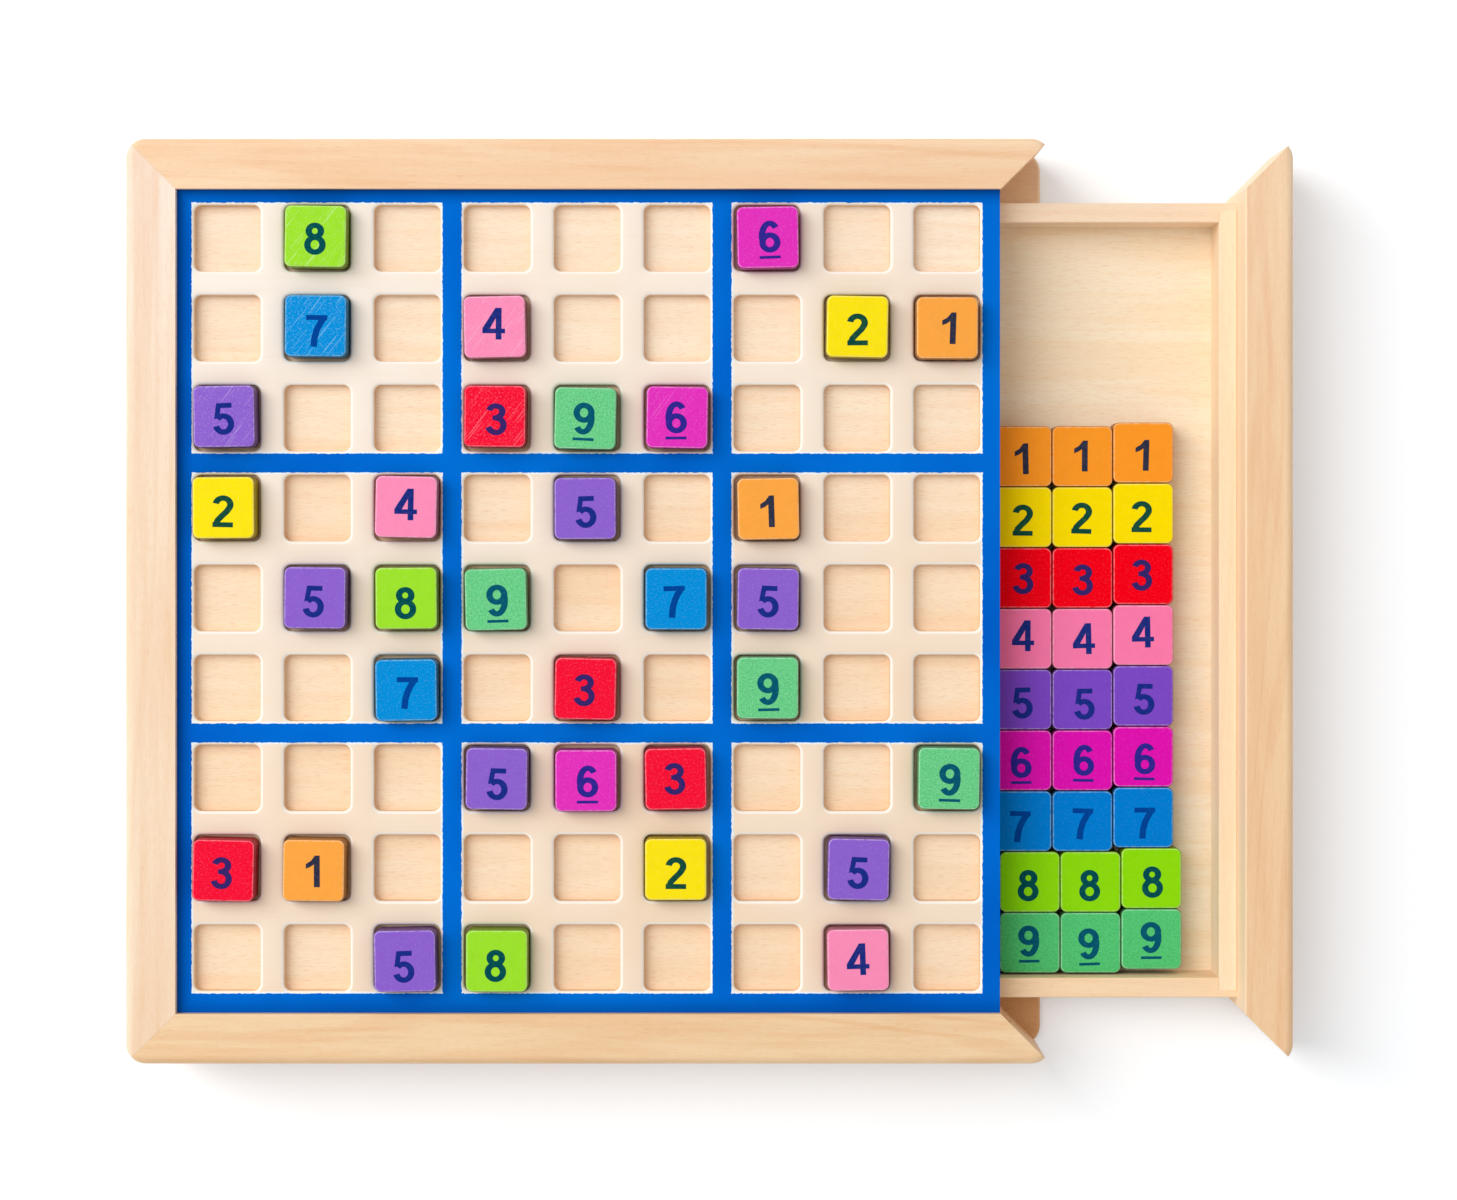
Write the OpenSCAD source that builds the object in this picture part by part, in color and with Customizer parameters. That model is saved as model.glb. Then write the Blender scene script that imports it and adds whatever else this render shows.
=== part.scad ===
// Wooden sudoku board: a mitred frame on a base panel, a recessed playing board with
// a pocket for each tile, and a drawer whose face completes the frame and holds spare tiles.
// Millimetres. X points to the drawer face, Y away from the player, Z up.
// The origin is the middle of the base panel's underside.

/* [Tiles] */
// Side of a square tile
tile_w = 20; // [17:0.1:24]
// Height of a tile
tile_t = 10; // [8:0.5:13]
// Radius of a tile's upright edges
tile_corner_r = 2.2; // [1.5:0.1:4]
// Radius of the rim round a tile's two faces
tile_rim_r = 0.8; // [0.3:0.1:1.2]
// Gap on each side of a tile in the middle of its pocket
tile_play = 0.7; // [0.6:0.1:2]
// Share of that gap by which the tiles lie off centre
tile_stray = 0.5; // [0:0.1:0.6]
// Largest angle at which a tile lies askew in its pocket
tile_turn = 1.2; // [0:0.1:1.5]

/* [Playing board] */
// Wood between two neighbouring pockets
rib_w = 7.8; // [4:0.1:14]
// Board between the outer pockets and the rails
border_w = 6; // [4:0.1:15]
// Corner radius of a pocket
pocket_r = 2.3; // [1.5:0.1:5]
// How far the pockets lie off the middle of the board along X
pockets_x = -0.5; // [-2:0.1:2]
// How far the pockets lie off the middle of the board along Y
pockets_y = 1; // [-2:0.1:2]
// Thickness of the sheet that the pockets are cut through
sheet_t = 4; // [2.5:0.5:6]
// Thickness of the panel that closes the pockets below
backing_t = 5; // [3:0.5:8]
// How far the playing surface lies below the top of the rails
recess = 3; // [2:0.5:8]
// How far the board reaches into the grooves of the rails
tongue = 4; // [2:0.5:6]
// Gap above and beside the board in its grooves
groove_play = 0.2; // [0.1:0.05:0.5]

/* [Frame] */
// Width of a rail
rail_w = 16.5; // [13:0.5:24]
// Radius of the frame's upright corners
corner_r = 6.5; // [4:0.5:10]
// Radius of the rounded outer edge on top of the rails
rail_rim_r = 3; // [1:0.5:3.5]
// Thickness of the base panel
base_t = 5; // [4:0.5:8]
// Radius of the base panel's outer edges
base_rim_r = 1.2; // [0.5:0.1:1.8]

/* [Drawer] */
// How far the drawer stands open
drawer_open = 78.5; // [0:0.5:150]
// Height of the drawer walls
drawer_h = 20.2; // [18:0.1:30]
// Thickness of the two drawer sides
side_t = 6.5; // [5:0.5:9]
// Thickness of the drawer's inner front and back
end_t = 6; // [5:0.5:9]
// Part of a side's thickness that laps over the ends of the inner front and back
lap_t = 2.5; // [1.5:0.1:3]
// Radius of the eased top edges of the drawer walls
wall_rim_r = 0.5; // [0.2:0.1:1]
// Thickness of the drawer floor
floor_t = 3; // [2:0.5:4]
// Wall left below the floor's groove
floor_lift = 1.2; // [0.8:0.1:2]
// Depth of the groove that holds the floor
floor_groove = 3; // [2:0.1:3.5]
// Gap between the drawer and each rail
side_play = 3; // [0.5:0.1:4]
// Gap under the drawer
slip = 0.3; // [0.2:0.1:1]
// Gap above the drawer walls
headroom = 2.5; // [0.5:0.1:5]
// Gap behind the closed drawer
back_gap = 5; // [1:0.5:20]
// Gap between the closed drawer face and what it meets
face_gap = 0.5; // [0.3:0.1:1]
// Radius of the drawer face's inner top edge
face_rim_r = 0.8; // [0.3:0.1:1.5]

/* [Tiles in the drawer] */
// Gap between the last tile of a row and the inner front
row_gap = 14; // [5:0.5:40]
// How far the two rows nearest the player are pushed further towards the face
row_push = 2.7; // [0:0.1:4]
// How far the tiles beside the inner front stand further from the player than their rows
end_push = 1.2; // [0:0.1:3]
// Gap between the tiles and the drawer side nearest the player
stack_gap = 0.6; // [0.3:0.1:5]
// Gap between neighbouring tiles
tile_gap = 0.1; // [0.05:0.05:0.4]

/* [Fastenings] */
// Diameter of the dowels that hold the mitres and the drawer face
dowel_d = 5; // [3:0.5:6]
// Gap round a dowel in its hole
dowel_play = 0.1; // [0.05:0.05:0.2]
// Wood left beyond the end of each dowel hole
dowel_cover = 2; // [1.5:0.5:4]
// Shank diameter of the screws under the base
screw_d = 3; // [2.5:0.5:4]
// Length of a screw
screw_l = 16; // [12:1:20]
// Head diameter of a screw
screw_head_d = 6; // [5.5:0.5:8]
// Gap round a screw in its hole
screw_play = 0.1; // [0.05:0.05:0.2]

/* [Hidden] */
$fn = 48;
cells = 9;
rail_screws = 3;
face_dowels = 3;

// Plan sizes
pocket_w = tile_w + 2 * tile_play;
pitch = pocket_w + rib_w;
opening = cells * pitch - rib_w + 2 * border_w;
frame_w = opening + 2 * rail_w;
rail_mid = (opening + rail_w) / 2;
groove_w = opening + 2 * (tongue + groove_play);

// Levels, from the underside up
drawer_z = base_t + slip;
drawer_top = drawer_z + drawer_h;
floor_z = drawer_z + floor_lift;
floor_top = floor_z + floor_t;
backing_z = drawer_top + headroom;
sheet_z = backing_z + backing_t;
board_z = sheet_z + sheet_t;
frame_z = board_z + recess;

// The drawer box when it is closed
box_w = opening - 2 * side_play;
box_front = opening / 2 + face_gap;
box_back = back_gap - opening / 2;
box_l = box_front - box_back;
inner_w = box_w - 2 * side_t;
end_l = box_w - 2 * lap_t;
inner_front = box_front - end_t;

// Fastenings
mitre_dowel_l = 2 * (rail_w / sqrt(2) - dowel_d / 2 - dowel_cover);
face_dowel_in = end_t - dowel_cover;
face_dowel_out = rail_w - face_gap - dowel_cover - rail_rim_r;
screw_head_h = (screw_head_d - screw_d) / 2;
screw_sink = 0.2;

// The digits on the board, row by row from the far rail, with a dash for an empty pocket
board_rows = [
    "-8----6--",
    "-7-4---21",
    "5--396---",
    "2-4-5-1--",
    "-589-75--",
    "--7-3-9--",
    "---563--9",
    "31---2-5-",
    "--58---4-"
];

// The same tiles as [digit, row, column], counted from 1
board_tiles = [
    for (row = [1:cells], column = [1:cells])
        let (mark = board_rows[row - 1][column - 1])
            if (mark != "-") [ord(mark) - ord("0"), row, column]
];

// How many tiles of each digit, from 1 to 9, lie in the drawer
drawer_counts = [6, 6, 5, 6, 3, 6, 6, 6, 5];

// Paint of the tiles, from 1 to 9
paints = ["orange", "gold", "crimson", "hotpink", "mediumpurple", "mediumvioletred", "steelblue",
    "yellowgreen", "mediumseagreen"];
wood = "burlywood";

function tile_name(t) = str("tile_", t[0], "_r", t[1], "c", t[2]);
function group_name(digit) = str("drawer_tiles_", digit);

// Middle of a pocket, from its column counted along X or its row counted against Y
function pocket_mid(place) = (place - (cells + 1) / 2) * pitch;

// A value from -1 to 1 that differs from tile to tile, from an angle taken once for each pocket
function stray(t, angle) = sin(angle * (cells * t[1] + t[2]));
drift_angle_x = 77;
drift_angle_y = 131;
turn_angle = 53;

// Section of a bar of width w and height h, with its low and high edges rounded
module bar_section(w, h, low, high) {
    translate([-w / 2, low])
        square([w, h - low - high]);
    if (low > 0) {
        translate([low - w / 2, 0])
            square([w - 2 * low, h / 2]);
        for (side = [-1, 1])
            translate([side * (w / 2 - low), low])
                circle(low);
    }
    if (high > 0) {
        translate([high - w / 2, h / 2])
            square([w - 2 * high, h / 2]);
        for (side = [-1, 1])
            translate([side * (w / 2 - high), h - high])
                circle(high);
    }
}

// A bar of that section along X, middle at the origin, underside at Z 0
module bar_x(l, w, h, low, high) {
    rotate([90, 0, 90])
        linear_extrude(height = l, center = true)
            bar_section(w, h, low, high);
}

// A square block with rounded upright edges and rounded rims, underside at Z 0
module rounded_block(w, h, corner, low, high) {
    for (turn = [0, 90])
        rotate([0, 0, turn])
            bar_x(w - 2 * corner, w, h, low, high);
    for (x = [-1, 1], y = [-1, 1])
        translate([x * (w / 2 - corner), y * (w / 2 - corner), 0])
            rotate_extrude()
                intersection() {
                    bar_section(2 * corner, h, low, high);
                    square([corner, h]);
                }
}

module rounded_square(w, r) {
    square([w, w - 2 * r], center = true);
    square([w - 2 * r, w], center = true);
    for (x = [-1, 1], y = [-1, 1])
        translate([x * (w / 2 - r), y * (w / 2 - r)])
            circle(r);
}

// The fourth of the frame that lies towards the given direction, cut on its mitres,
// with its mitres and its inner face drawn back by a gap
module frame_side(direction, foot, gap) {
    reach = frame_w;
    inner = opening / 2 + gap;
    intersection() {
        translate([0, 0, foot])
            rounded_block(frame_w, frame_z - foot, corner_r, 0, rail_rim_r);
        rotate([0, 0, direction])
            translate([0, 0, foot - 1])
                linear_extrude(height = frame_z)
                    polygon([[inner, gap * sqrt(2) - inner], [reach, gap * sqrt(2) - reach],
                        [reach, reach - gap * sqrt(2)], [inner, inner - gap * sqrt(2)]]);
    }
}

// Room for the board in the rails, open towards the drawer
module board_groove() {
    translate([-groove_w / 2, -groove_w / 2, backing_z])
        cube([groove_w + frame_w, groove_w, sheet_t + backing_t + groove_play]);
}

// A dowel along X, or the hole for one with its play
module dowel(l, play = 0) {
    rotate([0, 90, 0])
        cylinder(d = dowel_d + 2 * play, h = l + 2 * play, center = true);
}

// Two dowels across each mitre beside the left rail
module mitre_dowel_set(play = 0) {
    for (side = [-1, 1], level = [1, 2])
        translate([-rail_mid, side * rail_mid, base_t + level * (backing_z - base_t) / 3])
            rotate([0, 0, side * 45])
                dowel(mitre_dowel_l, play);
}

// A countersunk screw, head down and level with Z 0, or the hole for one with its play
module screw(play = 0) {
    shank = screw_d / 2 + play;
    head = screw_head_d / 2 + play;
    rotate_extrude()
        polygon([[0, 0], [head, 0], [shank, screw_head_h], [shank, screw_l - screw_d + play],
            [0, screw_l + play]]);
}

// Drawn at each screw place under the rails
module at_screws() {
    spacing = opening / rail_screws;
    for (direction = [90, 180, 270], k = [1:rail_screws])
        rotate([0, 0, direction])
            translate([rail_mid, (k - (rail_screws + 1) / 2) * spacing, screw_sink])
                children();
}

module screw_holes() {
    at_screws() {
        screw(screw_play);
        translate([0, 0, -1])
            cylinder(r = screw_head_d / 2 + screw_play, h = 1.01);
    }
}

module base_panel() {
    color(wood)
        difference() {
            rounded_block(frame_w, base_t, corner_r, base_rim_r, base_rim_r);
            screw_holes();
        }
}

module rail(direction) {
    color(wood)
        difference() {
            frame_side(direction, base_t, 0);
            board_groove();
            mitre_dowel_set(dowel_play);
            screw_holes();
        }
}

module left_rail() {
    rail(180);
}

module far_rail() {
    rail(90);
}

module near_rail() {
    rail(270);
}

module mitre_dowels() {
    color(wood)
        mitre_dowel_set();
}

module base_screws() {
    slot_l = screw_head_d * 0.55;
    slot_w = screw_head_d * 0.13;
    color("silver")
        at_screws()
            difference() {
                screw();
                for (turn = [0, 90])
                    rotate([0, 0, turn])
                        cube([slot_l, slot_w, screw_head_h], center = true);
            }
}

module board_outline(t) {
    translate([-opening / 2 - tongue, -opening / 2 - tongue, 0])
        cube([opening + tongue, opening + 2 * tongue, t]);
}

module board_backing() {
    color(wood)
        translate([0, 0, backing_z])
            board_outline(backing_t);
}

module pocket_sheet() {
    color("antiquewhite")
        translate([0, 0, sheet_z])
            difference() {
                board_outline(sheet_t);
                translate([0, 0, -1])
                    linear_extrude(height = sheet_t + 2)
                        for (row = [1:cells], column = [1:cells])
                            translate([pockets_x + pocket_mid(column), pockets_y + pocket_mid(row)])
                                rounded_square(pocket_w, pocket_r);
            }
}

module tile(digit) {
    color(paints[digit - 1])
        rounded_block(tile_w, tile_t, tile_corner_r, tile_rim_r, tile_rim_r);
}

module board_tile(t) {
    drift = tile_play * tile_stray;
    translate([pockets_x + pocket_mid(t[2]) + drift * stray(t, drift_angle_x),
        pockets_y - pocket_mid(t[1]) + drift * stray(t, drift_angle_y), sheet_z])
        rotate([0, 0, tile_turn * stray(t, turn_angle)])
            tile(t[0]);
}

// Moves what is drawn for the closed drawer to where the drawer stands
module in_drawer() {
    translate([drawer_open, 0, 0])
        children();
}

// Groove for the floor round the inside of the drawer walls
module floor_room() {
    translate([box_back + end_t - floor_groove, -inner_w / 2 - floor_groove, floor_z])
        cube([box_l - 2 * end_t + 2 * floor_groove, inner_w + 2 * floor_groove, floor_t]);
}

// Dowels from the inner front into the drawer face
module face_dowel_set(play = 0) {
    spacing = inner_w / face_dowels;
    for (k = [1:face_dowels])
        translate([box_front + (face_dowel_out - face_dowel_in) / 2,
            (k - (face_dowels + 1) / 2) * spacing, (floor_top + drawer_top) / 2])
            dowel(face_dowel_in + face_dowel_out, play);
}

module drawer_face() {
    color(wood)
        in_drawer()
            difference() {
                frame_side(0, drawer_z, face_gap);
                translate([box_front, 0, frame_z])
                    rotate([90, 0, 0])
                        linear_extrude(height = frame_w, center = true)
                            difference() {
                                square(2 * face_rim_r, center = true);
                                translate([face_rim_r, -face_rim_r])
                                    circle(face_rim_r);
                                translate([face_rim_r, -2 * face_rim_r])
                                    square(2 * face_rim_r);
                            }
                face_dowel_set(dowel_play);
            }
}

module drawer_end(x) {
    color(wood)
        in_drawer()
            difference() {
                translate([x, 0, drawer_z])
                    rotate([0, 0, 90])
                        bar_x(end_l, end_t, drawer_h, 0, wall_rim_r);
                floor_room();
                face_dowel_set(dowel_play);
            }
}

module drawer_inner_front() {
    drawer_end(box_front - end_t / 2);
}

module drawer_back() {
    drawer_end(box_back + end_t / 2);
}

module drawer_side(side) {
    color(wood)
        in_drawer()
            difference() {
                translate([(box_front + box_back) / 2, side * (box_w - side_t) / 2, drawer_z])
                    bar_x(box_l, side_t, drawer_h, 0, wall_rim_r);
                for (x = [box_back, box_front])
                    translate([x, 0, drawer_z + drawer_h / 2])
                        cube([2 * end_t, end_l, 2 * drawer_h], center = true);
                floor_room();
            }
}

module drawer_far_side() {
    drawer_side(1);
}

module drawer_near_side() {
    drawer_side(-1);
}

module drawer_floor() {
    color(wood)
        in_drawer()
            floor_room();
}

module face_dowels() {
    color(wood)
        in_drawer()
            face_dowel_set();
}

// The tiles of one digit in the drawer, as a row along X that starts behind the inner front
module drawer_tiles(digit) {
    row = cells - digit;
    push = row < 2 ? row_push : 0;
    in_drawer()
        for (k = [1:drawer_counts[digit - 1]])
            translate([inner_front - row_gap + push - (k - 0.5) * tile_w - (k - 1) * tile_gap,
                (0.5 + row) * tile_w + row * tile_gap + stack_gap + (k == 1 ? end_push : 0) - inner_w / 2,
                floor_top])
                tile(digit);
}

base_panel();
left_rail();
far_rail();
near_rail();
mitre_dowels();
base_screws();
board_backing();
pocket_sheet();
drawer_face();
drawer_inner_front();
drawer_back();
drawer_far_side();
drawer_near_side();
drawer_floor();
face_dowels();
for (t = board_tiles)
    board_tile(t);
for (digit = [1:cells])
    drawer_tiles(digit);
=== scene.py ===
"""Sudoku board in Blender 4.5: wood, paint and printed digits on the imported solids, seen from above."""
import math

import bmesh
import bpy
from mathutils import Matrix, Vector
from mathutils.geometry import delaunay_2d_cdt


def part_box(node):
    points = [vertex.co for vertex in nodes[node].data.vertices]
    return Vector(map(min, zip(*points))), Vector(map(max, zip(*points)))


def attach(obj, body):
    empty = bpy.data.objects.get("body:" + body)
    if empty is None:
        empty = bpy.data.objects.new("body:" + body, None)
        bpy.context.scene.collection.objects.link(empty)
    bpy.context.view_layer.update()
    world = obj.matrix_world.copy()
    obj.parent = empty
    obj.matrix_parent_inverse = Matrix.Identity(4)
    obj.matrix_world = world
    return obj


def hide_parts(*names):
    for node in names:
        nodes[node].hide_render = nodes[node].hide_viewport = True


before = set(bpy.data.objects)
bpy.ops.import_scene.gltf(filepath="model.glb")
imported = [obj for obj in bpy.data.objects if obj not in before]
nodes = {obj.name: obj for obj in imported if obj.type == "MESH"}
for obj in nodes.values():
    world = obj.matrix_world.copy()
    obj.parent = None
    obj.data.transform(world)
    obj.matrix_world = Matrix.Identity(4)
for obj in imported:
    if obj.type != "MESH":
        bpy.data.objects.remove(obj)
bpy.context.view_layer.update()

# Sizes that the paint and the digits follow, in metres
MM = 0.001
PITCH = 29.2 * MM
POCKET_W = 21.4 * MM
POCKET_R = 2.3 * MM
POCKET_RIM_R = 1.3 * MM
# How far the pockets lie off the middle of the board along X and Y
POCKETS_AT = (-0.5 * MM, 1 * MM)
BLOCK_W = 3 * PITCH
BOARD_HALF = 133.5 * MM
# How far the cream paint reaches past the outer pockets of a block
CREAM_MARGIN = 0.8 * MM
WHITE_LINE = 0.55 * MM
# How far from the rails the blue lines carry painted shade, darker where the rails' shadow falls
RAIL_SHADE_REACH = 6 * MM
TILE_W = 20 * MM
TILE_GAP = 0.1 * MM
# Largest turn of a tile in its pocket, and the angle that varies it from pocket to pocket, in degrees
TILE_TURN = 1.2
TURN_ANGLE = 53
INK_LIFT = 0.03 * MM
# How far the edges of the rails and of the drawer face are rounded
EASED = 0.3 * MM
# Tiles further than this along Y are the worn ones, which are those in the far three rows
WORN_FROM = 1.5 * PITCH
# Thickness of a layer of plywood
PLY = 1.25 * MM
# Depth of the relief on bare wood
WOOD_RELIEF = 0.04 * MM
# How strongly bare wood and paint mirror the light, as the shader's specular level
WOOD_SHINE = 0.3
PAINT_SHINE = 0.14

# Paint of the tiles and ink of the digits, from 1 to 9, in picture values
PAINTS = {
    1: (254, 168, 68), 2: (254, 230, 16), 3: (249, 16, 54), 4: (253, 142, 186), 5: (141, 97, 208),
    6: (229, 48, 190), 7: (2, 143, 220), 8: (157, 227, 43), 9: (105, 208, 136),
}
# Painted shade on the tiles in the drawer: how much further from white their paint is than on the board, as a
# share
DRAWER_SHADE = 0.15
# How strongly specks and scratches show in the paint of the tiles, as shares
BOARD_SPECKS = 0.36
DRAWER_SPECKS = 0.16
SCRATCHES = 0.5
# The digit whose tiles have a grainy paint
GRAINY_DIGIT = 9
INKS = {
    1: (42, 48, 72), 2: (16, 72, 62), 3: (50, 40, 108), 4: (24, 44, 124), 5: (24, 44, 132),
    6: (42, 40, 142), 7: (4, 66, 150), 8: (2, 74, 82), 9: (6, 84, 110),
}
# How far below the middle of its tile each digit is printed, in millimetres
PRINT_LOW = {1: 0.35, 2: 0.7, 3: 0.45, 4: -0.5, 5: 1.3, 6: 0.3, 7: 1.35, 8: 1.2, 9: -0.1}
# How far a digit may be printed off that place along X and Y, in millimetres, and askew, in degrees
PRINT_OFF_X = 0.55
PRINT_OFF_Y = 0.5
PRINT_ASKEW = 1.6


def srgb(red, green, blue):
    """The linear colour of picture values from 0 to 255."""
    def linear(value):
        part = value / 255
        return part / 12.92 if part <= 0.04045 else ((part + 0.055) / 1.055) ** 2.4
    return (linear(red), linear(green), linear(blue), 1)


class Surface:
    """A material with a Principled shader, and short ways to add nodes to it."""

    def __init__(self, name):
        self.material = bpy.data.materials.new(name)
        self.material.use_nodes = True
        self.tree = self.material.node_tree
        self.shader = self.tree.nodes["Principled BSDF"]
        self.place = self.add("TexCoord").outputs["Object"]

    def feed(self, socket, value):
        """Links a socket to another socket, or gives it a plain value."""
        if isinstance(value, bpy.types.NodeSocket):
            self.tree.links.new(value, socket)
        else:
            socket.default_value = value

    def add(self, kind, settings=None, **inputs):
        """A new node with its settings and inputs."""
        node = self.tree.nodes.new("ShaderNode" + kind)
        for name, value in (settings or {}).items():
            setattr(node, name, value)
        for name, value in inputs.items():
            self.feed(node.inputs[name], value)
        return node

    def math(self, operation, first, second=0.0):
        node = self.add("Math", {"operation": operation})
        self.feed(node.inputs[0], first)
        self.feed(node.inputs[1], second)
        return node.outputs[0]

    def mapped(self, scale=(1, 1, 1), turn=0.0, shift=(0, 0, 0)):
        """The place, turned about Z by an angle in degrees and then scaled."""
        turned = self.add("Mapping", Vector=self.place, Location=shift, Rotation=(0, 0, math.radians(turn)))
        scaled = self.add("Mapping", Vector=turned.outputs[0], Scale=scale)
        return scaled.outputs[0]

    def noise(self, place, scale=1.0, detail=3.0, rough=0.5, twist=0.0):
        node = self.add("TexNoise", Vector=place, Scale=scale, Detail=detail, Roughness=rough,
                        Distortion=twist)
        return node.outputs[0]

    def step(self, value, low, high, start=0.0, end=1.0):
        """A smooth rise from start to end while the value goes from low to high."""
        node = self.add("MapRange", {"interpolation_type": "SMOOTHSTEP"}, Value=value)
        node.inputs["From Min"].default_value = low
        node.inputs["From Max"].default_value = high
        node.inputs["To Min"].default_value = start
        node.inputs["To Max"].default_value = end
        return node.outputs[0]

    def mix(self, factor, first, second, blend="MIX"):
        node = self.add("Mix", {"data_type": "RGBA", "blend_type": blend})
        self.feed(node.inputs[0], factor)
        self.feed(node.inputs[6], first)
        self.feed(node.inputs[7], second)
        return node.outputs[2]

    def facing(self, axis="Z"):
        """How far a face looks along an axis: for Z it is 1 on top and 0 on an upright side."""
        normal = self.add("NewGeometry").outputs["Normal"]
        return self.add("SeparateXYZ", Vector=normal).outputs[axis]

    def finish(self, colour, roughness, height, depth, strength, shine=0.5):
        """The material with its colour, roughness, relief and specular level."""
        bump = self.add("Bump", Height=height, Distance=depth, Strength=strength)
        self.feed(self.shader.inputs["Base Color"], colour)
        self.feed(self.shader.inputs["Specular Tint"], colour)
        self.feed(self.shader.inputs["Roughness"], roughness)
        self.feed(self.shader.inputs["Specular IOR Level"], shine)
        self.feed(self.shader.inputs["Normal"], bump.outputs[0])
        return self.material


# Marks in wood: how many there are in a metre along the grain, across it and down
BANDS = (7, 75, 75)
STREAKS = (22, 420, 420)
FIBRES = (130, 3600, 3600)
YEAR_RINGS = (9, 150, 60)
PORES = (330, 4600, 4600)


def wood_tone(surface, grain, light, dark, seed, figure, fleck):
    """Colour, height and fibres of planed wood between a light and a dark tone.

    The grain runs along X at a turn of 0 degrees, and the seed shifts its marks. The figure and the fleck
    say how strongly its year rings and its pores show.
    """
    shift = (0.37 * seed, 0.53 * seed, 0.19 * seed)
    band = surface.noise(surface.mapped(BANDS, grain, shift), 1.0, 3.0, 0.55, 0.6)
    streak = surface.noise(surface.mapped(STREAKS, grain + 0.6, shift), 1.0, 3.0, 0.6, 0.3)
    fibre = surface.noise(surface.mapped(FIBRES, grain, shift), 1.0, 2.0, 0.6)
    ring_place = surface.mapped(YEAR_RINGS, grain + 2.2, shift)
    ring_bend = surface.noise(ring_place, 0.35, 2.0, 0.5)
    across = surface.add("SeparateXYZ", Vector=ring_place).outputs["Y"]
    wave = surface.math("SINE", surface.math("ADD", surface.math("MULTIPLY", across, 4.2),
                                             surface.math("MULTIPLY", ring_bend, 30.0)))
    year_ring = surface.step(wave, 0.55, 1.0)
    pore = surface.noise(surface.mapped(PORES, grain, shift), 1.0, 1.0, 0.5)
    pore = surface.step(pore, 0.54, 0.72)
    tone = surface.step(band, 0.36, 0.66, 0, 0.55)
    tone = surface.math("ADD", tone, surface.step(streak, 0.4, 0.75, 0, 0.35))
    tone = surface.math("ADD", tone, surface.math("MULTIPLY", year_ring, 0.32 * figure))
    tone = surface.math("ADD", tone, surface.step(fibre, 0.35, 0.7, -0.06, 0.14))
    colour = surface.mix(tone, srgb(*light), srgb(*dark))
    brown = tuple(part * share for part, share in zip(dark, (0.9, 0.8, 0.68)))
    colour = surface.mix(surface.math("MULTIPLY", pore, fleck), colour, srgb(*brown))
    height = surface.math("MULTIPLY", fibre, 0.6)
    height = surface.math("SUBTRACT", height, surface.math("MULTIPLY", pore, 0.5))
    return colour, height, fibre


def painted_near_shade(surface, colour, near_shade):
    """The colour with painted shade: a darker, warmer tint that sets in from the far edge of the board to its
    middle, as the light falls off towards the near side.
    """
    if not near_shade:
        return colour
    along = surface.add("SeparateXYZ", Vector=surface.place).outputs["Y"]
    near_shaded = surface.mix(1.0, colour, srgb(*near_shade), "MULTIPLY")
    return surface.mix(surface.step(along, BOARD_HALF, 0), colour, near_shaded)


def wood(name, light, dark, grain=0, seed=1.0, figure=1.0, fleck=0.2, side_tone=None, near_shade=None):
    """Planed wood. A side tone gives the way along X, 1 or -1, that some faces look, and their own tone: end
    grain on the rails' mitres, and painted light on the drawer face's sides toward the lamp.
    """
    surface = Surface(name)
    colour, height, fibre = wood_tone(surface, grain, light, dark, seed, figure, fleck)
    colour = painted_near_shade(surface, colour, near_shade)
    if side_tone:
        way, tone = side_tone
        # Faces turned one way along X take their own tone: end grain on the rails, painted light on the
        # drawer face.
        one_side = surface.step(surface.math("MULTIPLY", surface.facing("X"), way), 0.45, 0.6, 0, 0.8)
        colour = surface.mix(one_side, colour, srgb(*tone))
    roughness = surface.step(fibre, 0.3, 0.7, 0.42, 0.56)
    return surface.finish(colour, roughness, height, WOOD_RELIEF, 0.6, WOOD_SHINE)


def plywood(name, light, dark, grain=0, seed=1.0, figure=0.4, fleck=0.35, near_shade=None):
    """Veneered panel: wood on its faces, and layers on its upright edges."""
    surface = Surface(name)
    colour, height, fibre = wood_tone(surface, grain, light, dark, seed, figure, fleck)
    colour = painted_near_shade(surface, colour, near_shade)
    level = surface.add("SeparateXYZ", Vector=surface.place).outputs["Z"]
    layers = surface.math("SINE", surface.math("MULTIPLY", level, math.pi / PLY))
    shade = surface.step(layers, -0.25, 0.25)
    edge = surface.step(surface.math("ABSOLUTE", surface.facing()), 0.75, 0.35)
    brown = tuple(part * 0.82 for part in dark)
    layer = surface.math("MULTIPLY", surface.math("MULTIPLY", shade, edge), 0.6)
    colour = surface.mix(layer, colour, srgb(*brown))
    roughness = surface.step(fibre, 0.3, 0.7, 0.46, 0.6)
    return surface.finish(colour, roughness, height, WOOD_RELIEF, 0.6, WOOD_SHINE)


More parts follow.
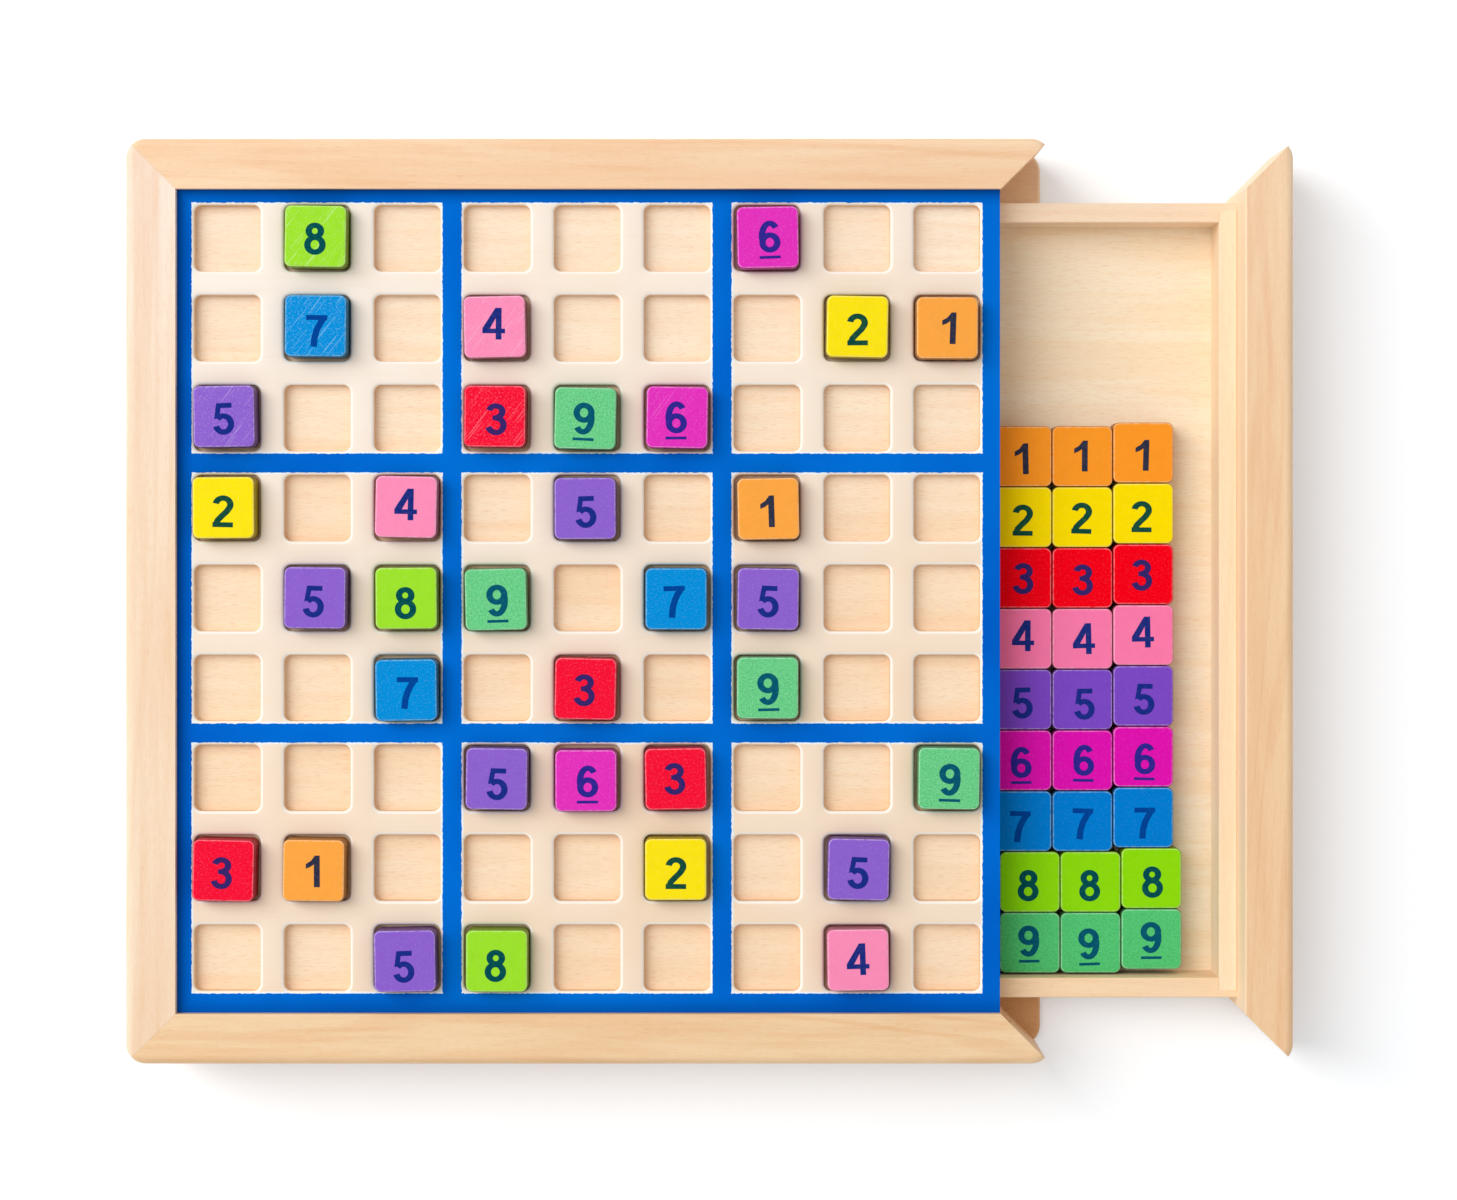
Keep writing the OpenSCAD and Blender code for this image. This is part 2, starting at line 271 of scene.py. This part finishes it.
def board_paint():
    """Cream board with blue lines between its blocks, white along the lines and bare wood in the pockets."""
    surface = Surface("board_paint")
    bare, _, _ = wood_tone(surface, 0, (244, 212, 176), (226, 184, 142), 4.3, 0.2, 0.4)
    place = surface.add("SeparateXYZ", Vector=surface.place)
    ragged = surface.noise(surface.place, 620, 4.0, 0.65)
    ragged = surface.math("MULTIPLY", surface.math("SUBTRACT", ragged, 0.5), 0.9 * MM)
    sides = []
    for axis, middle in zip(("X", "Y"), POCKETS_AT):
        along = surface.math("SUBTRACT", place.outputs[axis], middle)
        block = surface.math("ROUND", surface.math("DIVIDE", along, BLOCK_W))
        block = surface.math("MAXIMUM", surface.math("MINIMUM", block, 1.0), -1.0)
        block_middle = surface.math("MULTIPLY", block, BLOCK_W)
        sides.append(surface.math("ABSOLUTE", surface.math("SUBTRACT", along, block_middle)))
    cream_half = PITCH + POCKET_W / 2 + CREAM_MARGIN
    past = surface.math("SUBTRACT", surface.math("MAXIMUM", sides[0], sides[1]), cream_half)
    rough_past = surface.math("ADD", past, ragged)

    blotch = surface.noise(surface.mapped((18, 34, 34)), 1.0, 3.0, 0.5)
    thin = surface.noise(surface.mapped((40, 900, 900)), 1.0, 3.0, 0.6)
    # Painted shade: the cream grows darker and warmer from the far left towards the near right, and the
    # blotches add a random tone on top.
    slope = surface.math("SUBTRACT", surface.math("MULTIPLY", place.outputs["X"], 0.5), place.outputs["Y"])
    shade_and_blotch = surface.step(slope, -0.17, 0.12, 0, 0.8)
    shade_and_blotch = surface.math("ADD", surface.step(blotch, 0.34, 0.7, 0, 0.3), shade_and_blotch)
    cream = surface.mix(shade_and_blotch, srgb(251, 240, 229), srgb(247, 223, 197))
    cream = surface.mix(surface.step(thin, 0.5, 0.8, 0, 0.16), cream, srgb(242, 217, 190))
    white = surface.step(rough_past, -WHITE_LINE - 0.15 * MM, -WHITE_LINE + 0.1 * MM)
    cream = surface.mix(white, cream, srgb(240, 250, 255))
    up = surface.facing()
    # Painted highlight: the eased rims of the pockets are painted near white.
    cream = surface.mix(surface.step(up, 0.99, 0.88), cream, srgb(255, 250, 242))
    depth = surface.noise(surface.mapped((14, 14, 14), 0, (3.1, 1.7, 0)), 1.0, 3.0, 0.5)
    blue = surface.mix(surface.step(depth, 0.3, 0.72), srgb(2, 113, 218), srgb(2, 94, 200))
    # Painted shade: the blue is darker beside the left, far and near rails, where their shadow falls.
    inside = BOARD_HALF - RAIL_SHADE_REACH
    by_left = surface.step(place.outputs["X"], -inside, -BOARD_HALF, 0, 0.75)
    by_far = surface.step(place.outputs["Y"], inside, BOARD_HALF, 0, 0.75)
    by_near = surface.step(place.outputs["Y"], -inside, -BOARD_HALF, 0, 0.6)
    rail_shade = surface.math("MAXIMUM", surface.math("MAXIMUM", by_left, by_far), by_near)
    blue = surface.mix(rail_shade, blue, srgb(1, 76, 166))
    lines = surface.step(rough_past, -0.05 * MM, 0.05 * MM)
    colour = surface.mix(lines, cream, blue)

    colour = surface.mix(surface.step(up, 0.55, 0.25), colour, bare)
    skin = surface.noise(surface.place, 900, 2.0, 0.5)
    roughness = surface.step(skin, 0.3, 0.7, 0.36, 0.5)
    return surface.finish(colour, roughness, skin, 0.03 * MM, 0.5, PAINT_SHINE)


def tile_paint(name, base, specks, grainy):
    """Paint on wood: mottle, specks, pale rims, dark sides, and either grain or scratches on worn tiles."""
    surface = Surface(name)
    deep = tuple(part * 0.95 for part in base)
    pale = tuple(part + (255 - part) * 0.6 for part in base)
    mottle = surface.noise(surface.place, 260, 4.0, 0.6)
    grit = surface.noise(surface.place, 1700, 3.0, 0.65)
    colour = surface.mix(surface.step(mottle, 0.38, 0.68, 0, 0.3), srgb(*base), srgb(*deep))
    speckle = surface.step(grit, 0.5, 0.72, 0, specks)
    if grainy:
        dark = tuple(part * 0.8 for part in base)
        colour = surface.mix(surface.step(grit, 0.47, 0.33, 0, 0.6), colour, srgb(*dark))
    else:
        place = surface.add("SeparateXYZ", Vector=surface.place)
        far_rows = surface.step(place.outputs["Y"], WORN_FROM - 5 * MM, WORN_FROM + 5 * MM)
        left_columns = surface.step(place.outputs["X"], 3 * PITCH, -4 * PITCH)
        worn_tile = surface.math("MULTIPLY", far_rows, left_columns)
        speckle = surface.math("MULTIPLY", speckle, surface.step(worn_tile, 0, 1, 0.4, 1))
        streak = surface.noise(surface.mapped((70, 1900, 1900), -52), 1.0, 2.0, 0.5)
        hatch = surface.math("MULTIPLY", surface.step(streak, 0.6, 0.7, 0, SCRATCHES), worn_tile)
        colour = surface.mix(hatch, colour, srgb(*pale))
    colour = surface.mix(speckle, colour, srgb(*pale))
    up = surface.facing()
    wear = surface.math("MULTIPLY", surface.step(up, 0.985, 0.9), surface.step(up, 0.66, 0.8))
    worn = surface.step(surface.noise(surface.place, 700, 3.0, 0.6), 0.36, 0.6, 0.2, 0.7)
    colour = surface.mix(surface.math("MULTIPLY", wear, worn), colour, srgb(*pale))
    # Upright sides are darker and browner than the top.
    side = tuple(part * 0.55 + side_brown * 0.25 for part, side_brown in zip(base, (130, 90, 60)))
    colour = surface.mix(surface.step(up, 0.76, 0.5), colour, srgb(*side))
    roughness = surface.step(mottle, 0.3, 0.7, 0.3, 0.44)
    return surface.finish(colour, roughness, grit, 0.02 * MM, 0.5, PAINT_SHINE)


def digit_ink(digit):
    """Printed ink that lets a little of the paint through."""
    surface = Surface("digit_ink_%d" % digit)
    ink = INKS[digit]
    thin = tuple(part * 0.86 + below * 0.14 for part, below in zip(ink, PAINTS[digit]))
    cover = surface.noise(surface.place, 900, 3.0, 0.6)
    colour = surface.mix(surface.step(cover, 0.4, 0.75, 0, 0.8), srgb(*ink), srgb(*thin))
    roughness = surface.step(cover, 0.3, 0.7, 0.34, 0.46)
    return surface.finish(colour, roughness, cover, 0.01 * MM, 0.4, PAINT_SHINE)


def screw_steel():
    """Brushed steel."""
    surface = Surface("screw_steel")
    surface.shader.inputs["Metallic"].default_value = 1.0
    brushed = surface.noise(surface.mapped((300, 2600, 2600)), 1.0, 3.0, 0.6)
    colour = surface.mix(brushed, srgb(196, 196, 192), srgb(158, 158, 154))
    roughness = surface.step(brushed, 0.3, 0.7, 0.3, 0.46)
    return surface.finish(colour, roughness, brushed, 0.01 * MM, 0.4)


# Half the width and half the height of the pen that draws the digits, in millimetres
PEN_X = 1.03
PEN_Y = 0.87


def arc(middle, radius_x, radius_y, start, end, steps=20):
    """Points on an ellipse from one angle to another, in degrees."""
    points = []
    for k in range(steps + 1):
        angle = math.radians(start + (end - start) * k / steps)
        points.append((middle[0] + radius_x * math.cos(angle), middle[1] + radius_y * math.sin(angle)))
    return points


def stroke(points):
    """Outline of a line drawn with a flat-ended pen that is wider than it is high."""
    left = []
    right = []
    last = len(points) - 1
    for k, point in enumerate(points):
        before = Vector(points[max(k - 1, 0)])
        after = Vector(points[min(k + 1, last)])
        along = (after - before).normalized()
        normal = Vector((-along.y, along.x))
        reach = math.hypot(PEN_X * normal.x, PEN_Y * normal.y)
        offset = Vector((PEN_X ** 2 * normal.x, PEN_Y ** 2 * normal.y)) / reach
        left.append(Vector(point) + offset)
        right.append(Vector(point) - offset)
    return left + right[::-1]


def ring(middle, radius_x, radius_y):
    """A closed line round an ellipse, in two halves that overlap a little."""
    first = stroke(arc(middle, radius_x, radius_y, 0, 184))
    second = stroke(arc(middle, radius_x, radius_y, 180, 364))
    return [first, second]


def turned(outlines):
    """Outlines after half a turn about the middle."""
    return [[-point for point in points] for points in outlines]


def bar(x0, x1, y0, y1):
    return [Vector((x0, y0)), Vector((x1, y0)), Vector((x1, y1)), Vector((x0, y1))]


def outline(*points):
    return [Vector(point) for point in points]


# Outlines of the digits about their middle, in millimetres
UNDERLINE = bar(-3.4, 3.4, -7.1, -6.2)
SIX = ring((0.1, -1.9), 2.38, 2.38) + [
    stroke(arc((0.2, 0.0), 2.58, 4.28, 42, 195)),
]
DIGITS = {
    1: [outline((2.25, -5.1), (0.34, -5.1), (0.34, 2.25), (-0.9, 1.4), (-2.25, 0.9), (-2.25, 2.4),
                (-0.6, 3.4), (0.7, 5.1), (2.25, 5.1))],
    2: [stroke(arc((0, 2.2), 2.35, 2.1, 172, -22)
               + [(1.25, 0.05), (-0.2, -1.35), (-1.6, -2.8), (-2.2, -4.3)]),
        bar(-3.3, 3.3, -5.1, -3.5)],
    3: [stroke(arc((-0.1, 2.45), 2.15, 1.85, 165, -90)), stroke(arc((-0.1, -1.95), 2.45, 2.35, 90, -168)),
        bar(-1.15, 0.1, -0.3, 1.25)],
    4: [bar(0.65, 2.5, -5.1, 5.1), bar(-3.65, 3.65, -3.1, -1.6),
        outline((0.66, 5.1), (0.5, 5.1), (-3.65, -1.5), (-3.65, -3.05), (-1.3, -1.65), (0.75, 2.0))],
    5: [bar(-2.15, 2.8, 3.5, 5.1), outline((-2.15, 5.1), (-0.5, 5.1), (-1.3, 0.35), (-2.95, -0.05)),
        stroke(arc((0, -1.7), 2.45, 2.6, 140, -166))],
    6: SIX + [UNDERLINE],
    7: [bar(-3.4, 3.4, 3.5, 5.1), stroke([(2.35, 4.3), (1.2, 2.6), (0.1, 0.4), (-0.6, -2.0), (-0.9, -5.1)])],
    8: ring((0, 2.5), 1.98, 1.83) + ring((0, -1.95), 2.44, 2.38),
    9: turned(SIX) + [UNDERLINE],
}


def flat_union(outlines):
    """Vertices and triangles of flat outlines joined to one shape."""
    corners = []
    loops = []
    for points in outlines:
        area = sum(first.cross(second) for first, second in zip(points, points[1:] + points[:1]))
        loops.append(list(range(len(corners), len(corners) + len(points))))
        corners.extend(points if area > 0 else points[::-1])
    made, _, faces, _, _, sources = delaunay_2d_cdt(corners, [], loops, 0, 1e-5)
    return made, [face for face, source in zip(faces, sources) if source]


def add_object(name, data):
    """A new object in the scene."""
    made = bpy.data.objects.new(name, data)
    bpy.context.scene.collection.objects.link(made)
    return made


def add_digits(name, digit, places, body, material):
    """One mesh with the digit printed at each place, given as x, y and z in metres and a turn in degrees."""
    points, faces = flat_union(DIGITS[digit])
    corners = []
    triangles = []
    for x, y, z, turn in places:
        start = len(corners)
        rotation = Matrix.Rotation(math.radians(turn), 2)
        for point in points:
            spot = rotation @ point
            corners.append((x + spot.x * MM, y + spot.y * MM, z + INK_LIFT))
        triangles.extend([start + k for k in face] for face in faces)
    mesh = bpy.data.meshes.new(name)
    mesh.from_pydata(corners, [], triangles)
    mesh.materials.append(material)
    piece = add_object(name, mesh)
    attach(piece, body)


def drift(number, angle):
    """A value from -1 to 1 that differs from tile to tile."""
    return math.sin(math.radians(angle * number))


def printed_at(x, y, z, turn, digit, number):
    """Where a digit is printed on a tile: a little off its middle and a little askew."""
    aside = PRINT_OFF_X * drift(number, 97)
    low = PRINT_LOW[digit] + PRINT_OFF_Y * drift(number, 61)
    askew = PRINT_ASKEW * drift(number, 143)
    return (x + aside * MM, y - low * MM, z, turn + askew)


def print_board_tile(name, digit, ink):
    """The digit of a tile on the board, whose name ends with its row and column."""
    row, column = (int(part) for part in name.split("_r")[1].split("c"))
    number = 9 * row + column
    low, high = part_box(name)
    middle = ((low[0] + high[0]) / 2, (low[1] + high[1]) / 2)
    place = printed_at(*middle, high[2], TILE_TURN * drift(number, TURN_ANGLE), digit, number)
    add_digits("digit_" + name[5:], digit, [place], name, ink)


def print_drawer_tiles(name, digit, ink):
    """The digits of a row in the drawer, whose front tile lies further along Y than the others."""
    low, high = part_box(name)
    count = round((high[0] - low[0] + TILE_GAP) / (TILE_W + TILE_GAP))
    places = []
    for k in range(count):
        x = high[0] - TILE_W / 2 - k * (TILE_W + TILE_GAP)
        y = high[1] - TILE_W / 2 if k == 0 else low[1] + TILE_W / 2
        places.append(printed_at(x, y, high[2], 0, digit, 7 * digit + 3 * k))
    add_digits("digits_drawer_%d" % digit, digit, places, "drawer", ink)


def paint(name, material):
    """Gives a node its material."""
    for slot in nodes[name].material_slots:
        slot.material = material


def pocket_ring(half, radius, steps=8):
    """Points round a square with rounded corners, about its middle."""
    points = []
    for corner in range(4):
        middle = (half - radius) * math.sqrt(2)
        toward = math.radians(45 + 90 * corner)
        for k in range(steps + 1):
            angle = math.radians(90 * corner + 90 * k / steps)
            points.append((middle * math.cos(toward) + radius * math.cos(angle),
                           middle * math.sin(toward) + radius * math.sin(angle)))
    return points


def pocket_rings(low, high):
    """Rings round one pocket: out along the underside, up the wall, over the eased rim and out again."""
    def square(points, level):
        outer = []
        for x, y in points:
            grow = PITCH / 2 / max(abs(x), abs(y))
            outer.append((x * grow, y * grow, level))
        return outer

    wall = pocket_ring(POCKET_W / 2, POCKET_R)
    rings = [square(wall, low), [(x, y, low) for x, y in wall]]
    steps = 5
    for k in range(steps + 1):
        angle = math.radians(90 * k / steps)
        out = POCKET_RIM_R * (1 - math.cos(angle))
        level = high - POCKET_RIM_R * (1 - math.sin(angle))
        rings.append([(x, y, level) for x, y in pocket_ring(POCKET_W / 2 + out, POCKET_R + out)])
    rings.append(square(wall, high))
    return rings


def add_pocket_sheet(material):
    """The sheet with the rim of each pocket eased, as the cutter leaves it."""
    low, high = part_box("pocket_sheet")
    grid_half = 4.5 * PITCH - 0.01 * MM

    def snap(value, axis):
        if abs(value) < grid_half:
            return value + POCKETS_AT[axis]
        return high[axis] if value > 0 else low[axis]

    work = bmesh.new()
    rings = pocket_rings(low[2], high[2])
    count = len(rings[0])
    for column in range(-4, 5):
        for row in range(-4, 5):
            made = []
            for ring_points in rings:
                made.append([work.verts.new((snap(x + column * PITCH, 0), snap(y + row * PITCH, 1), z))
                             for x, y, z in ring_points])
            for inner, outer in zip(made, made[1:]):
                for k in range(count):
                    after = (k + 1) % count
                    work.faces.new((inner[k], inner[after], outer[after], outer[k]))
    bmesh.ops.remove_doubles(work, verts=work.verts, dist=0.002 * MM)
    bmesh.ops.bridge_loops(work, edges=[edge for edge in work.edges if edge.is_boundary])
    bmesh.ops.recalc_face_normals(work, faces=work.faces)
    mesh = bpy.data.meshes.new("pocket_sheet_eased")
    work.to_mesh(mesh)
    work.free()
    mesh.polygons.foreach_set("use_smooth", [True] * len(mesh.polygons))
    mesh.set_sharp_from_angle(angle=math.radians(50))
    mesh.materials.append(material)
    piece = add_object("pocket_sheet_eased", mesh)
    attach(piece, "frame")
    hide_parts("pocket_sheet")


def ease_edges(name):
    """Rounds the sharp edges of a solid for the render."""
    piece = nodes[name]
    weld = piece.modifiers.new("weld", "WELD")
    weld.merge_threshold = 0.005 * MM
    flat = piece.modifiers.new("flat", "DECIMATE")
    flat.decimate_type = "DISSOLVE"
    flat.angle_limit = math.radians(0.5)
    bevel = piece.modifiers.new("bevel", "BEVEL")
    bevel.width = EASED
    bevel.segments = 2
    bevel.limit_method = "ANGLE"
    bevel.angle_limit = math.radians(40)
    bevel.harden_normals = True


# Tones of the mitres on the rails, as end grain, and of the mitres and the inner side of the drawer face,
# paler as painted light where they face the lamp
SAWN = (238, 202, 162)
LIT_SIDE = (255, 231, 199)


def dress_frame():
    """Rails, base and board, with the light and dark tone of each wood."""
    # Near shades are painted shade: each one darkens and warms the near half of its wood.
    paint("left_rail", wood("left_rail_wood", (251, 233, 217), (243, 212, 186), 90, 1.0, 0.7,
                            near_shade=(254, 248, 236)))
    paint("far_rail", wood("far_rail_wood", (250, 219, 185), (242, 197, 156), 0, 2.0, 0.8, side_tone=(1, SAWN)))
    paint("near_rail", wood("near_rail_wood", (247, 215, 175), (235, 190, 143), 0, 3.0, 1.0, side_tone=(1, SAWN)))
    paint("base_panel", plywood("base_ply", (252, 220, 185), (240, 202, 165), 0, 5.0, near_shade=(222, 200, 174)))
    paint("mitre_dowels", wood("dowel_wood", (240, 205, 165), (224, 180, 134), 45, 6.0))
    paint("base_screws", screw_steel())
    paint("board_backing", plywood("board_ply", (255, 240, 219), (251, 224, 195), 0, 7.0,
                                   near_shade=(253, 244, 233)))
    add_pocket_sheet(board_paint())


def dress_drawer():
    """Face, walls and floor of the drawer."""
    ends = wood("drawer_end_wood", (255, 235, 206), (250, 221, 184), 90, 8.0, 0.6)
    far = wood("drawer_far_wood", (255, 233, 208), (249, 217, 184), 0, 9.0, 0.6)
    near = wood("drawer_near_wood", (255, 227, 193), (247, 210, 169), 0, 12.0, 0.6)
    # The near shade of the face is painted shade, darker towards the near side.
    paint("drawer_face", wood("face_wood", (255, 226, 191), (244, 203, 165), 90, 10.0, 0.8,
                              side_tone=(-1, LIT_SIDE), near_shade=(250, 243, 233)))
    paint("drawer_inner_front", ends)
    paint("drawer_back", ends)
    paint("drawer_far_side", far)
    paint("drawer_near_side", near)
    paint("drawer_floor", plywood("drawer_ply", (255, 240, 214), (253, 226, 189), 0, 11.0, 0.5, 0.3))
    paint("face_dowels", bpy.data.materials["dowel_wood"])


def dress_tiles():
    """The tiles in the drawer have a darker paint, painted shade for their place low in the drawer, with
    fewer specks than those on the board.
    """
    paints = {}
    inks = {}
    for digit, base in PAINTS.items():
        paints[digit] = tile_paint("tile_paint_%d" % digit, base, BOARD_SPECKS, digit == GRAINY_DIGIT)
        inks[digit] = digit_ink(digit)
    for name in list(nodes):
        if name.startswith("tile_"):
            digit = int(name.split("_")[1])
            paint(name, paints[digit])
            print_board_tile(name, digit, inks[digit])
        if name.startswith("drawer_tiles_"):
            digit = int(name.split("_")[2])
            # Painted shade: the tiles in the drawer take a darker copy of their paint.
            deep = tuple(max(0, part - DRAWER_SHADE * (255 - part)) for part in PAINTS[digit])
            paint(name, tile_paint("drawer_shaded_paint_%d" % digit, deep, DRAWER_SPECKS, digit == GRAINY_DIGIT))
            print_drawer_tiles(name, digit, inks[digit])


# Floor, light and camera, in metres and watts, with the lens and the sensor in millimetres
FLOOR_HALF = 3.0
FLOOR_LEVEL = -0.2 * MM
FLOOR_GLOW = (0.13, 0.155, 0.185, 1)
WINDOW_SIZE = (1.7, 3.4)
WINDOW_POWER = 62
WINDOW_AWAY = 3.0
# Where the light of the window goes to, and the way that it goes
LIT_SPOT = Vector((0.04, 0, 0.03))
LIGHT_WAY = Vector((4.6, -2.5, -6)).normalized()
ROOM_COLOUR = (1.0, 0.99, 0.97, 1)
ROOM_STRENGTH = 0.55
CAMERA_AT = (0.0454, 0.024, 0.970)
LENS = 71.05
SENSOR = 36
# How far the picture is shifted along Y, as a share of the sensor
SHIFT_Y = -0.05


def seen_directly(tree):
    """1 on rays that show the background, also in a reflection, and 0 on those that light the object."""
    path = tree.nodes.new("ShaderNodeLightPath")
    total = path.outputs["Is Camera Ray"]
    for name in ("Is Glossy Ray", "Is Transmission Ray"):
        highest = tree.nodes.new("ShaderNodeMath")
        highest.operation = "MAXIMUM"
        tree.links.new(total, highest.inputs[0])
        tree.links.new(path.outputs[name], highest.inputs[1])
        total = highest.outputs[0]
    return total


def whiten(tree, shader):
    """Adds a little cool white to the floor where it is looked at, so that it is white beside its shadow."""
    white = tree.nodes.new("ShaderNodeEmission")
    white.inputs["Color"].default_value = FLOOR_GLOW
    tree.links.new(seen_directly(tree), white.inputs["Strength"])
    both = tree.nodes.new("ShaderNodeAddShader")
    tree.links.new(shader.outputs[0], both.inputs[0])
    tree.links.new(white.outputs[0], both.inputs[1])
    tree.links.new(both.outputs[0], tree.nodes["Material Output"].inputs["Surface"])


def add_floor():
    """Plain white table top."""
    mesh = bpy.data.meshes.new("floor")
    corners = [(x * FLOOR_HALF, y * FLOOR_HALF, FLOOR_LEVEL) for x, y in ((-1, -1), (1, -1), (1, 1), (-1, 1))]
    mesh.from_pydata(corners, [], [(0, 1, 2, 3)])
    floor = add_object("floor", mesh)
    material = bpy.data.materials.new("floor")
    material.use_nodes = True
    shader = material.node_tree.nodes["Principled BSDF"]
    shader.inputs["Base Color"].default_value = (1, 1, 1, 1)
    shader.inputs["Roughness"].default_value = 0.9
    shader.inputs["Specular IOR Level"].default_value = 0.1
    whiten(material.node_tree, shader)
    mesh.materials.append(material)


def add_lights():
    """Soft light from the far left, and an even pale room."""
    lamp = bpy.data.lights.new("window", "AREA")
    lamp.shape = "ELLIPSE"
    lamp.size, lamp.size_y = WINDOW_SIZE
    lamp.energy = WINDOW_POWER
    window = add_object("window", lamp)
    window.location = LIT_SPOT - WINDOW_AWAY * LIGHT_WAY
    window.rotation_euler = LIGHT_WAY.to_track_quat("-Z", "Y").to_euler()
    window.visible_camera = False

    world = bpy.data.worlds.new("room")
    bpy.context.scene.world = world
    world.use_nodes = True
    tree = world.node_tree
    tree.nodes.clear()
    room = tree.nodes.new("ShaderNodeBackground")
    room.inputs["Color"].default_value = ROOM_COLOUR
    room.inputs["Strength"].default_value = ROOM_STRENGTH
    white = tree.nodes.new("ShaderNodeBackground")
    choose = tree.nodes.new("ShaderNodeMixShader")
    tree.links.new(seen_directly(tree), choose.inputs[0])
    tree.links.new(room.outputs[0], choose.inputs[1])
    tree.links.new(white.outputs[0], choose.inputs[2])
    output = tree.nodes.new("ShaderNodeOutputWorld")
    tree.links.new(choose.outputs[0], output.inputs["Surface"])


def add_camera():
    """Looks straight down from about 0.93 m above the frame."""
    data = bpy.data.cameras.new("camera")
    data.sensor_width = SENSOR
    data.lens = LENS
    data.shift_y = SHIFT_Y
    camera = add_object("camera", data)
    camera.location = CAMERA_AT
    bpy.context.scene.camera = camera


dress_frame()
dress_drawer()
dress_tiles()
for rail in ("left_rail", "far_rail", "near_rail", "drawer_face"):
    ease_edges(rail)
add_floor()
add_lights()
add_camera()
bpy.context.scene.view_settings.view_transform = "Standard"
